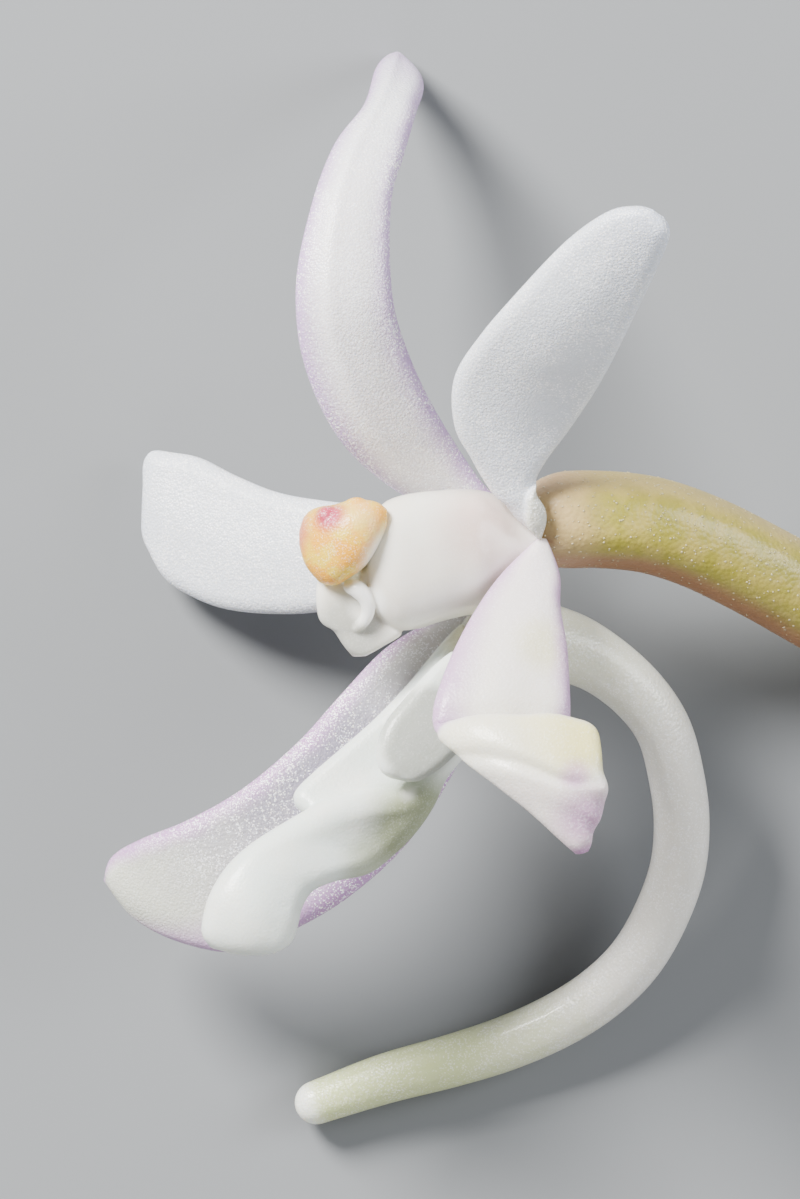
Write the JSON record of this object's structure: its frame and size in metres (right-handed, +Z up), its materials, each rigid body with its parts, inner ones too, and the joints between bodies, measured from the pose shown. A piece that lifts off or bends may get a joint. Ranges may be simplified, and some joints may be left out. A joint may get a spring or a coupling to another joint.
{
  "type": "wind orchid bloom",
  "caption": "White orchid bloom as picked, lying on a surface: sickle-shaped sepals and petals round a short column, fleshy lip, long curved nectar spur and a cut stalk",
  "frame": {"origin": "centre of the bloom's bounding box in plan, at the level of the surface it lies on", "axes": "+Z up, towards the picture's camera; +X and +Y are the picture's right and up, with the dorsal sepal's tip at +Y, the spur's bend at -Y and the cut stalk at +X"},
  "size_m": [0.0192, 0.0235, 0.0098],
  "materials": {
    "petal_white": "satin",
    "sepal_blush": "satin",
    "lip_ivory": "satin",
    "column_cream": "satin",
    "anther_yellow": "satin",
    "stalk_olive": "satin"
  },
  "bodies": {
    "root": {"pedicel_and_ovary": "stalk_olive", "dorsal_sepal": "sepal_blush", "left_petal": "petal_white", "right_petal": "petal_white", "left_lateral_sepal": "sepal_blush", "right_lateral_sepal": "sepal_blush", "lip_and_spur": "lip_ivory", "column": "column_cream", "anther_cap": "anther_yellow"}
  },
  "joints": []
}
